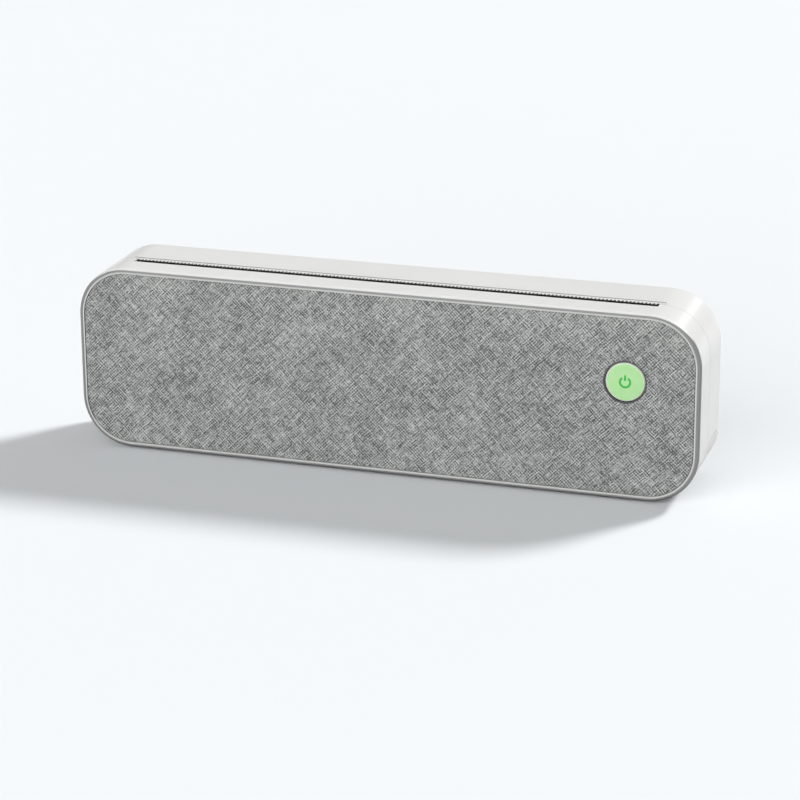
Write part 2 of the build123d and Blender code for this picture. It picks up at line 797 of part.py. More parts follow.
# ---- Chassis: rear tray, cradle, end pods, hinge knuckles ----
with BuildPart() as chassis:
    add(rear_blank.part)
    tray_hollow = housing_outline(back_y - base_wall, inset=base_wall)
    extrude(tray_hollow, amount=body_depth, mode=Mode.SUBTRACT)
    split(bisect_by=Plane.XY.offset(hinge_z - seam_gap / 2), keep=Keep.BOTTOM)
    # end pods, closed at the back, open towards the front shell
    for side in (-1, 1):
        with BuildSketch(front_plane(pod_back_y)):
            draw_housing(pod_inset)
            with Locations((side * (bay_half_length + half_width / 2), middle_z)):
                Rectangle(half_width, body_height, mode=Mode.INTERSECT)
        extrude(amount=pod_back_y - pod_front_y)
    # cradle under and in front of the roll, and the ramp that leads the paper up
    with BuildSketch(side_plane(-bay_half_length - fuse)):
        with Locations((bay_y, bay_z)):
            Circle(cradle_radius)
        with Locations((bay_y, bay_z + cradle_radius)):
            Rectangle(3 * cradle_radius, 2 * cradle_radius, mode=Mode.SUBTRACT)
        with Locations((bay_y, bottom_z + base_wall)):
            Rectangle(groove_width + 2 * groove_land, 2 * cradle_wall)
        with BuildLine():
            Polyline(
                (cradle_front_y, bay_z - overcut),
                (cradle_front_y, ramp_start_z + overcut),
                (ramp_end_y - ramp_lip, ramp_end_z),
                (ramp_end_y, ramp_end_z),
                (ramp_end_y, ramp_end_z - ramp_lip_height),
                (cradle_inner_y, ramp_start_z),
                (cradle_inner_y, bay_z - overcut),
                close=True,
            )
        make_face()
        with Locations((bay_y, bay_z)):
            Circle(bay_radius, mode=Mode.SUBTRACT)
    extrude(amount=2 * (bay_half_length + fuse))
    # the roll space stays clear of the tray's back wall
    bay_cut = drop_disc(bay_y, bay_z, -bay_half_length, bay_radius, 2 * bay_half_length)
    add(bay_cut, mode=Mode.SUBTRACT)
    # inside of the pods
    for side, inner_x in ((1, end_wall_outer), (-1, left_inner_x)):
        with BuildSketch(front_plane(pod_inner_back_y)):
            draw_housing(pod_inset + pod_wall)
            with Locations((side * (inner_x + half_width / 2), middle_z)):
                Rectangle(half_width, body_height, mode=Mode.INTERSECT)
        extrude(amount=body_depth, mode=Mode.SUBTRACT)
    # T groove that the paper guide slides in
    with BuildSketch(side_plane(groove_low_x)):
        with Locations((bay_y, groove_floor_z + groove_height / 2)):
            Rectangle(groove_width, groove_height)
        with Locations((bay_y, groove_floor_z + base_wall)):
            Rectangle(groove_neck, 2 * base_wall)
    extrude(amount=bay_half_length - groove_low_x, mode=Mode.SUBTRACT)
    # seats for the platen bushes, open to the back
    open_y = platen_y + body_depth / 2
    for notch_x in (-end_wall_outer, bay_half_length):
        with BuildSketch(side_plane(notch_x)):
            with Locations(platen_centre):
                Circle(notch_radius)
            with Locations((open_y, platen_z - notch_radius + body_height / 2)):
                Rectangle(body_depth, body_height)
            with Locations((open_y - notch_radius / 2, platen_z + body_height / 2)):
                Rectangle(body_depth, body_height)
        extrude(amount=end_wall, mode=Mode.SUBTRACT)
    # room for the tear bar's holder, also while the cover swings
    room_half = strip_half_length + pod_clearance
    room_low = (-room_half, slot_front_y - overcut, holder_bottom_z - pod_clearance)
    add(block(room_low, (room_half, back_y, top_z)), mode=Mode.SUBTRACT)
    add(gear_way.part, mode=Mode.SUBTRACT)
    # room round the button sleeve
    sleeve_back_y = button_board_back_y + sleeve_room
    sleeve_space = button_circle(sleeve_back_y, collar_flange_radius + sleeve_room)
    extrude(sleeve_space, amount=sleeve_back_y - front_y, mode=Mode.SUBTRACT)
    # slots for the spring plate's tabs, holes for the head rod and gear posts
    slot_reach = tab_height / 2 + running_clearance
    slot_low = (-end_wall_outer, plate_back_y - running_clearance, spring_z - slot_reach)
    slot_high = (end_wall_outer, plate_face_y + running_clearance, spring_z + slot_reach)
    add(block(slot_low, slot_high), mode=Mode.SUBTRACT)
    rod_hole = head_rod_radius + seated_clearance
    rod_length = 2 * end_wall_outer
    rod_bore = drop_disc(head_rod_y, head_rod_z, -end_wall_outer, rod_hole, rod_length)
    add(rod_bore, mode=Mode.SUBTRACT)
    post_hole = gear_bore_radius + seated_clearance
    for post in (idler_centre, reduction_centre):
        add(drop_disc(*post, bay_half_length, post_hole, end_wall), mode=Mode.SUBTRACT)
    # screw holes to the front shell
    cradle_holes = screw_row(cradle_inner_y, screw_radius + seated_clearance)
    extrude(cradle_holes, amount=cradle_wall, mode=Mode.SUBTRACT)
    # mouth for the charging socket
    with BuildSketch(side_plane(-half_width)):
        with Locations((socket_y, socket_z)):
            mouth_height = socket_height + 2 * socket_mouth_room
            mouth_width = socket_width + 2 * socket_mouth_room
            Rectangle(mouth_height, mouth_width)
    extrude(amount=pod_inset + pod_wall + overcut, mode=Mode.SUBTRACT)
    # clearance swept by the cover's barrel, then the knuckles
    sweep_x = half_width + overcut
    sweep = drop_disc(hinge_y, hinge_z, -sweep_x, barrel_sweep, 2 * sweep_x)
    add(sweep, mode=Mode.SUBTRACT)
    drop_low = (-sweep_x, hinge_y, hinge_z - barrel_sweep)
    add(block(drop_low, (sweep_x, back_y + overcut, hinge_z + overcut)), mode=Mode.SUBTRACT)
    for station in (-hinge_station_x, hinge_station_x):
        for side in (-1, 1):
            near = cover_knuckle_length / 2 + knuckle_side_gap
            low_x, high_x = hinge_knuckle_span(station, side, near, knuckle_outer)
            add(drop_disc(hinge_y, hinge_z, low_x, barrel_radius, base_knuckle_length))
            web_low = (low_x, hinge_y - barrel_radius, hinge_z - 2 * barrel_radius)
            add(block(web_low, (high_x, back_y, hinge_z)))
        pin_hole = hinge_pin_radius + seated_clearance
        pin_start = station - knuckle_outer
        pin_seat = drop_disc(hinge_y, hinge_z, pin_start, pin_hole, 2 * knuckle_outer)
        add(pin_seat, mode=Mode.SUBTRACT)
    # recesses for the rear feet
    rear_recess = foot_pair(rear_foot_y, bottom_z, foot_fit)
    extrude(rear_recess, amount=foot_recess, mode=Mode.SUBTRACT)

# ---- Hinge pins ----
with BuildPart() as hinge_pins:
    for station in (-hinge_station_x, hinge_station_x):
        pin_start = station - knuckle_outer
        add(drop_disc(hinge_y, hinge_z, pin_start, hinge_pin_radius, 2 * knuckle_outer))

# ---- Platen: rubber on a steel shaft, with its gear and bushes ----
platen_length = 2 * platen_half_length
with BuildPart() as platen_shaft:
    add(drop_disc(*platen_centre, -platen_half_length, platen_core_radius, platen_length))
    shaft_length = end_wall_outer + inner_gear_x + gear_width
    add(drop_disc(*platen_centre, -end_wall_outer, platen_neck_radius, shaft_length))

with BuildPart() as platen_roller:
    add(drop_disc(*platen_centre, -platen_half_length, platen_radius, platen_length))
    core = drop_disc(*platen_centre, -platen_half_length, platen_core_radius, platen_length)
    add(core, mode=Mode.SUBTRACT)

with BuildPart() as platen_bushes:
    bush_length = end_wall_outer - bracket_x
    for bush_start in (-end_wall_outer, bracket_x):
        add(drop_disc(*platen_centre, bush_start, bush_radius, bush_length))
        bush_bore = platen_neck_radius + running_clearance
        bore = drop_disc(*platen_centre, bush_start, bush_bore, bush_length)
        add(bore, mode=Mode.SUBTRACT)

with BuildPart() as platen_gear:
    add(gear(inner_gear_x, gear_width, platen_centre, platen_teeth, platen_phase))
    gear_bore = drop_disc(*platen_centre, inner_gear_x, platen_neck_radius, gear_width)
    add(gear_bore, mode=Mode.SUBTRACT)

# ---- Reduction train ----
post_bore = gear_bore_radius + running_clearance
post_gear_width = gear_width + gear_gap + drive_width
with BuildPart() as idler_gear:
    add(gear(inner_gear_x, gear_width, idler_centre, idler_teeth, idler_phase))
    add(drop_disc(*idler_centre, inner_gear_x, post_bore, gear_width), mode=Mode.SUBTRACT)

with BuildPart() as reduction_gear:
    small_width = gear_width + gear_gap
    add(gear(inner_gear_x, small_width, reduction_centre, small_teeth, small_phase))
    add(gear(drive_gear_x, drive_width, reduction_centre, large_teeth, small_phase))
    wheel_bore = drop_disc(*reduction_centre, inner_gear_x, post_bore, post_gear_width)
    add(wheel_bore, mode=Mode.SUBTRACT)

with BuildPart() as gear_posts:
    idler_post_length = inner_gear_x + gear_width + post_tip - bay_half_length
    add(drop_disc(*idler_centre, bay_half_length, gear_bore_radius, idler_post_length))
    wheel_post_length = motor_x - bay_half_length
    add(drop_disc(*reduction_centre, bay_half_length, gear_bore_radius, wheel_post_length))

with BuildPart() as gear_plate:
    plate_reach = motor_radius + gear_plate_margin
    plate_low = (gear_plate_x, pinion_centre[0] - plate_reach, pinion_centre[1] - plate_reach)
    plate_high = (motor_x, pod_inner_back_y, reduction_centre[1] + gear_plate_top)
    add(block(plate_low, plate_high))
    post_seat = drop_disc(*reduction_centre, gear_plate_x, post_hole, gear_plate_thickness)
    add(post_seat, mode=Mode.SUBTRACT)
    boss_hole = motor_boss_radius + motor_boss_gap
    boss_seat = drop_disc(*pinion_centre, gear_plate_x, boss_hole, gear_plate_thickness)
    add(boss_seat, mode=Mode.SUBTRACT)

with BuildPart() as stepper_motor:
    add(drop_disc(*pinion_centre, motor_x, motor_radius, motor_length))
    add(drop_disc(*pinion_centre, gear_plate_x, motor_boss_radius, gear_plate_thickness))
    motor_bore = motor_shaft_radius + running_clearance
    bore_length = gear_plate_thickness + motor_bore_depth
    shaft_bore = drop_disc(*pinion_centre, gear_plate_x, motor_bore, bore_length)
    add(shaft_bore, mode=Mode.SUBTRACT)

with BuildPart() as motor_pinion:
    add(gear(drive_gear_x, drive_width, pinion_centre, pinion_teeth, pinion_phase))
    pinion_shaft_length = motor_x + motor_shaft_reach - drive_gear_x
    add(drop_disc(*pinion_centre, drive_gear_x, motor_shaft_radius, pinion_shaft_length))

# ---- Print head on its rod ----
head_length = 2 * head_half_length
with BuildPart() as head_heatsink:
    sink_low = (-head_half_length, sink_back_y, sink_bottom_z)
    add(block(sink_low, (head_half_length, sink_front_y, head_top_z)))
    sink_bore = head_rod_radius + running_clearance
    rod_way = drop_disc(head_rod_y, head_rod_z, -head_half_length, sink_bore, head_length)
    add(rod_way, mode=Mode.SUBTRACT)

with BuildPart() as print_head:
    ceramic_low = (-head_half_length, sink_front_y, head_top_z - ceramic_height)
    add(block(ceramic_low, (head_half_length, head_face_y - glaze_rise, head_top_z)))
    # raised glaze line where the dots are
    glaze_y = head_face_y - glaze_radius
    with BuildSketch(side_plane(-head_half_length)):
        with Locations((glaze_y, platen_z)):
            Circle(glaze_radius)
        with Locations((sink_front_y - glaze_radius, platen_z)):
            Rectangle(2 * glaze_radius, 2 * glaze_radius, mode=Mode.SUBTRACT)
    extrude(amount=head_length)

with BuildPart() as head_pivot_rod:
    add(drop_disc(head_rod_y, head_rod_z, -end_wall_outer, head_rod_radius, rod_length))

# ---- Spring plate, with staples over the feet of three bow springs ----
spring_places = (-spring_spacing, 0, spring_spacing)
foot_middle = spring_half_span + spring_foot / 2
with BuildPart() as head_spring_plate:
    plate_half = bay_half_length - plate_end_gap
    plate_low = (-plate_half, plate_back_y, spring_z - plate_below)
    add(block(plate_low, (plate_half, plate_face_y, spring_z + plate_above)))
    tab_low = (-end_wall_outer, plate_back_y, spring_z - tab_height / 2)
    add(block(tab_low, (end_wall_outer, plate_face_y, spring_z + tab_height / 2)))
    inside_y = plate_face_y + spring_strip + staple_gap
    inside_z = spring_width / 2 + staple_gap
    outside_z = inside_z + staple_wall
    for spring_x in spring_places:
        for side in (-1, 1):
            low_x = spring_x + side * foot_middle - staple_length / 2
            high_x = low_x + staple_length
            staple_low = (low_x, plate_face_y, spring_z - outside_z)
            staple_high = (high_x, inside_y + staple_wall, spring_z + outside_z)
            add(block(staple_low, staple_high))
            eye_low = (low_x, plate_face_y, spring_z - inside_z)
            eye_high = (high_x, inside_y, spring_z + inside_z)
            add(block(eye_low, eye_high), mode=Mode.SUBTRACT)

with BuildPart() as head_springs:
    crown_y = sink_back_y - seated_clearance
    foot_end = spring_half_span + spring_foot
    for spring_x in spring_places:
        with BuildSketch(Plane.XY.offset(spring_z - spring_width / 2)):
            with BuildLine():
                ends = [spring_x + side * foot_end for side in (-1, 1)]
                bends = [spring_x + side * spring_half_span for side in (-1, 1)]
                foot_y = plate_face_y + spring_strip
                inner = [x + step for x, step in zip(bends, (spring_strip, -spring_strip))]
                ThreePointArc((bends[0], foot_y), (spring_x, crown_y), (bends[1], foot_y))
                Polyline((bends[1], foot_y), (ends[1], foot_y), (ends[1], plate_face_y))
                Line((ends[1], plate_face_y), (inner[1], plate_face_y))
                crown_inner = (spring_x, crown_y - spring_strip)
                ThreePointArc((inner[1], plate_face_y), crown_inner, (inner[0], plate_face_y))
                Polyline((inner[0], plate_face_y), (ends[0], plate_face_y), (ends[0], foot_y))
                Line((ends[0], foot_y), (bends[0], foot_y))
            make_face()
        extrude(amount=spring_width)

# ---- Electronics in the left pod ----
with BuildPart() as main_board:
    board_low = (board_end_x, board_y, board_low_z)
    add(block(board_low, (-left_inner_x, board_back_y, board_high_z)))
    for chip in range(2):
        chip_x = board_end_x + chip_inset + chip * board_thickness
        chip_z = board_low_z + chip_rise + chip * chip_pitch
        chip_high = (chip_x + chip_size, board_back_y + chip_height, chip_z + chip_size)
        add(block((chip_x, board_back_y, chip_z), chip_high))

with BuildPart() as charging_socket:
    with BuildSketch(side_plane(socket_outer_x)):
        with Locations((socket_y, socket_z)):
            SlotOverall(socket_width, socket_height, rotation=90)
    extrude(amount=socket_length)
    with BuildSketch(side_plane(socket_outer_x)):
        with Locations((socket_y, socket_z)):
            mouth = (socket_width - 2 * socket_wall, socket_height - 2 * socket_wall)
            SlotOverall(*mouth, rotation=90)
    extrude(amount=socket_length - socket_back_wall, mode=Mode.SUBTRACT)
    tongue_half = tongue_thickness / 2
    tongue_low_x = socket_outer_x + tongue_setback
    tongue_high_x = socket_outer_x + socket_length - tongue_root
    tongue_low = (tongue_low_x, socket_y - tongue_half, socket_z - tongue_width / 2)
    tongue_high = (tongue_high_x, socket_y + tongue_half, socket_z + tongue_width / 2)
    add(block(tongue_low, tongue_high))

with BuildPart() as battery_pack:
    battery_low = (-left_inner_x - battery_width, battery_y, middle_z - battery_height / 2)
    battery_high = (-left_inner_x, battery_y + battery_depth, middle_z + battery_height / 2)
    add(block(battery_low, battery_high))
    fillet(battery_pack.edges().filter_by(Axis.Z), radius=battery_edge)

# ---- Paper guide: side stop with a T foot in the groove ----
with BuildPart() as paper_guide:
    neck_height = 2 * base_wall - groove_height
    with BuildSketch(side_plane(guide_x)):
        with Locations((bay_y, bay_z)):
            Circle(guide_radius)
        with Locations((bay_y, groove_floor_z + groove_height / 2)):
            Rectangle(groove_width - 2 * guide_fit, groove_height - 2 * guide_fit)
        with Locations((bay_y, groove_floor_z + groove_height / 2 + neck_height / 2)):
            Rectangle(groove_neck - 2 * guide_fit, neck_height)
        with Locations((bay_y, bay_z)):
            Circle(guide_radius - guide_rim, mode=Mode.SUBTRACT)
    extrude(amount=guide_thickness)

# ---- Screws that join the chassis to the front shell ----
with BuildPart() as shell_screws:
    extrude(screw_row(cradle_inner_y, screw_radius), amount=screw_length)
    screw_heads = screw_row(cradle_inner_y + screw_head_height, screw_head_radius)
    extrude(screw_heads, amount=screw_head_height)

# ---- Rubber feet ----
with BuildPart() as rubber_feet:
    for foot_y in (front_foot_y, rear_foot_y):
        extrude(foot_pair(foot_y, 0, 0), amount=foot_height + foot_recess)

pieces = {
    "front_shell": front_shell,
    "slot_guide": slot_guide,
    "front_trim_ring": front_trim_ring,
    "front_panel": front_panel,
    "front_fabric": front_fabric,
    "power_button": power_button,
    "button_collar": button_collar,
    "button_board": button_board,
    "rear_cover": rear_cover,
    "tear_bar": tear_bar,
    "tear_bar_holder": tear_bar_holder,
    "chassis": chassis,
    "hinge_pins": hinge_pins,
    "platen_shaft": platen_shaft,
    "platen_roller": platen_roller,
    "platen_bushes": platen_bushes,
    "platen_gear": platen_gear,
    "idler_gear": idler_gear,
    "reduction_gear": reduction_gear,
    "gear_posts": gear_posts,
    "gear_plate": gear_plate,
    "stepper_motor": stepper_motor,
    "motor_pinion": motor_pinion,
    "head_heatsink": head_heatsink,
    "print_head": print_head,
    "head_pivot_rod": head_pivot_rod,
    "head_spring_plate": head_spring_plate,
    "head_springs": head_springs,
    "main_board": main_board,
    "charging_socket": charging_socket,
    "battery_pack": battery_pack,
    "paper_guide": paper_guide,
    "shell_screws": shell_screws,
    "rubber_feet": rubber_feet,
}

os.makedirs("parts", exist_ok=True)
for name, piece in pieces.items():
    piece.part.label = name
    export_step(piece.part, f"parts/{name}.step")
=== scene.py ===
import math

import bpy
from mathutils import Matrix, Vector


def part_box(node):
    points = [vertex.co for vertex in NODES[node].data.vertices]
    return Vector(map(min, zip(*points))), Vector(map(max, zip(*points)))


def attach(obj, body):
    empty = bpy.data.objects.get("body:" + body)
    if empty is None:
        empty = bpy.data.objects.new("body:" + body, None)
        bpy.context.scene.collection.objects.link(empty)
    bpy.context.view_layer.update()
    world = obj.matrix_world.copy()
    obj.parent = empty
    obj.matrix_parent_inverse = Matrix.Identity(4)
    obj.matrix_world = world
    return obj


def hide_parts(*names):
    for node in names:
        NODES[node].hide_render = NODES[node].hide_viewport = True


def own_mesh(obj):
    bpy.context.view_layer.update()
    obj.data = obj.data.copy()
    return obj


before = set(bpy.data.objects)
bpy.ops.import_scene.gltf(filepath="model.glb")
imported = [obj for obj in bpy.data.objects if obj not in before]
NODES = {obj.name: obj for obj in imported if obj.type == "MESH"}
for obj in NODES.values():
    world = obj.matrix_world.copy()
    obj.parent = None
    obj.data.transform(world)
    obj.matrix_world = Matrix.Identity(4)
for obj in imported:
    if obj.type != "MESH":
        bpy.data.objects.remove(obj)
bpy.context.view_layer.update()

# A portable thermal printer for A4 rolls: white moulded shell, grey cloth front
# in a thin trim ring, round green power button, tear-bar slot on top.
# Metres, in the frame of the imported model.

MM = 0.001
UPRIGHT = (math.radians(90), 0, 0)  # turns a flat primitive to face the front

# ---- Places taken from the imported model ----
cloth_low, cloth_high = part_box("front_fabric")
cap_low, cap_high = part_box("power_button")
cover_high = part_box("rear_cover")[1]
shaft_low, shaft_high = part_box("platen_shaft")
bar_low, bar_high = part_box("tear_bar")
button_centre = (cap_low + cap_high) / 2
platen_axis = (shaft_low + shaft_high) / 2


# ---- Small tools ----
def srgb(text):
    """A hex colour such as "E6E6E4" as linear RGBA."""
    values = [int(text[i : i + 2], 16) / 255 for i in (0, 2, 4)]
    linear = [v / 12.92 if v <= 0.04045 else ((v + 0.055) / 1.055) ** 2.4 for v in values]
    return (*linear, 1.0)


def add_node(tree, kind, links=None, values=None, **settings):
    """Adds a node; settings are its own properties, values and links go to its inputs."""
    node = tree.nodes.new(kind)
    for name, value in settings.items():
        setattr(node, name, value)
    for name, value in (values or {}).items():
        node.inputs[name].default_value = value
    for name, socket in (links or {}).items():
        tree.links.new(socket, node.inputs[name])
    return node


def new_material(name, colour, roughness, **sockets):
    """A material with one Principled BSDF; sockets are more of its constant values."""
    material = bpy.data.materials.new(name)
    material.use_nodes = True
    tree = material.node_tree
    tree.nodes.clear()
    shader = add_node(tree, "ShaderNodeBsdfPrincipled")
    shader.inputs["Base Color"].default_value = srgb(colour)
    shader.inputs["Roughness"].default_value = roughness
    for socket, value in sockets.items():
        shader.inputs[socket.replace("_", " ")].default_value = value
    output = add_node(tree, "ShaderNodeOutputMaterial")
    tree.links.new(shader.outputs["BSDF"], output.inputs["Surface"])
    return material, tree, shader


def grain(tree, shader, size_mm, depth_mm, detail=2.0):
    """Fine random relief of one grain size, as spark-eroded tooling leaves it.

    Gives back the texture coordinates, for the colour.
    """
    place = add_node(tree, "ShaderNodeTexCoord")
    noise = add_node(
        tree,
        "ShaderNodeTexNoise",
        links={"Vector": place.outputs["Object"]},
        values={"Scale": 1000 / size_mm, "Detail": detail, "Roughness": 0.5},
    )
    bump = add_node(
        tree,
        "ShaderNodeBump",
        links={"Height": noise.outputs["Fac"]},
        values={"Strength": 1.0, "Distance": depth_mm * MM},
    )
    tree.links.new(bump.outputs["Normal"], shader.inputs["Normal"])
    return place


def vary_colour(tree, shader, place, dark, light, size_mm):
    """A slow drift between two near colours, so that a large face isn't one flat tone."""
    cloud = add_node(
        tree,
        "ShaderNodeTexNoise",
        links={"Vector": place.outputs["Object"]},
        values={"Scale": 1000 / size_mm, "Detail": 3.0, "Roughness": 0.55},
    )
    ramp = add_node(tree, "ShaderNodeValToRGB", links={"Fac": cloud.outputs["Fac"]})
    ramp.color_ramp.elements[0].position = 0.35
    ramp.color_ramp.elements[1].position = 0.65
    ramp.color_ramp.elements[0].color = srgb(dark)
    ramp.color_ramp.elements[1].color = srgb(light)
    tree.links.new(ramp.outputs["Color"], shader.inputs["Base Color"])


# ---- Materials ----
def moulded_abs(name, dark, light, roughness):
    """Injection-moulded ABS from a spark-eroded tool: a fine even grain and a soft sheen."""
    material, tree, shader = new_material(name, light, roughness, IOR=1.53)
    place = grain(tree, shader, size_mm=0.35, depth_mm=0.004)
    vary_colour(tree, shader, place, dark, light, size_mm=60)
    return material


def ring_with_painted_light():
    """Moulded ABS rim in satin grey paint, with a bare light lip.

    The grey paint is the rim's own colour at the sides. Where the rim faces up it turns white,
    which is a painted reflection of the sky and the shell. Where the rim turns under it goes
    dark, which is painted shade. The lip is the part that faces straight to the front.
    """
    material, tree, shader = new_material("grey_abs_ring_painted_sheen_and_shade", "868788", 0.32, IOR=1.5)
    place = grain(tree, shader, size_mm=0.35, depth_mm=0.003)
    facing = add_node(tree, "ShaderNodeSeparateXYZ", links={0: place.outputs["Normal"]})
    height = add_node(
        tree,
        "ShaderNodeMapRange",
        links={"Value": facing.outputs["Z"]},
        values={"From Min": -1.0, "From Max": 1.0},
    )
    # painted light by facing: dark below is painted shade, white on top is a painted reflection,
    # the grey between is the paint's own colour
    sheen_and_shade_ramp = add_node(tree, "ShaderNodeValToRGB", links={"Fac": height.outputs["Result"]})
    stops = sheen_and_shade_ramp.color_ramp.elements
    stops[0].position, stops[0].color = 0.15, srgb("3A3B3D")
    stops[1].position, stops[1].color = 0.81, srgb("E6E6E4")
    for position, colour in ((0.35, "868788"), (0.75, "868788")):
        stops.new(position).color = srgb(colour)
    flat = add_node(
        tree,
        "ShaderNodeMapRange",
        links={"Value": facing.outputs["Y"]},
        values={"From Min": -0.999, "From Max": -0.9999},
    )
    tone = add_node(
        tree,
        "ShaderNodeMix",
        data_type="RGBA",
        links={"Factor": flat.outputs["Result"], 6: sheen_and_shade_ramp.outputs["Color"]},
    )
    tone.inputs[7].default_value = srgb("CECECC")
    tree.links.new(tone.outputs[2], shader.inputs["Base Color"])
    return material


def brushed_metal(name, colour, roughness, stretch, line_mm=0.12):
    """Ground or drawn metal: fine lines along one axis, from the wheel or the die."""
    material, tree, shader = new_material(name, colour, roughness, Metallic=1.0)
    place = add_node(tree, "ShaderNodeTexCoord")
    mapping = add_node(
        tree,
        "ShaderNodeMapping",
        links={"Vector": place.outputs["Object"]},
        values={"Scale": stretch},
    )
    lines = add_node(
        tree,
        "ShaderNodeTexNoise",
        links={"Vector": mapping.outputs["Vector"]},
        values={"Scale": 1000 / line_mm, "Detail": 2.0},
    )
    spread = add_node(
        tree,
        "ShaderNodeMapRange",
        links={"Value": lines.outputs["Fac"]},
        values={"To Min": roughness - 0.08, "To Max": roughness + 0.1},
    )
    bump = add_node(
        tree,
        "ShaderNodeBump",
        links={"Height": lines.outputs["Fac"]},
        values={"Strength": 1.0, "Distance": 0.002 * MM},
    )
    tree.links.new(spread.outputs["Result"], shader.inputs["Roughness"])
    tree.links.new(bump.outputs["Normal"], shader.inputs["Normal"])
    return material


def soft_rubber(name, dark, light, roughness, grain_mm, depth_mm):
    """Ground or moulded silicone rubber: matt, with a faint dusty bloom."""
    material, tree, shader = new_material(name, light, roughness, IOR=1.45)
    place = grain(tree, shader, grain_mm, depth_mm)
    vary_colour(tree, shader, place, dark, light, size_mm=8)
    return material


def moulded_acetal(name, dark, light):
    """Moulded acetal: waxy, slightly see-through, with a low sheen."""
    material, tree, shader = new_material(
        name, light, 0.38, IOR=1.48, Subsurface_Weight=0.15, Subsurface_Scale=0.001
    )
    place = grain(tree, shader, size_mm=0.6, depth_mm=0.003)
    vary_colour(tree, shader, place, dark, light, size_mm=12)
    return material


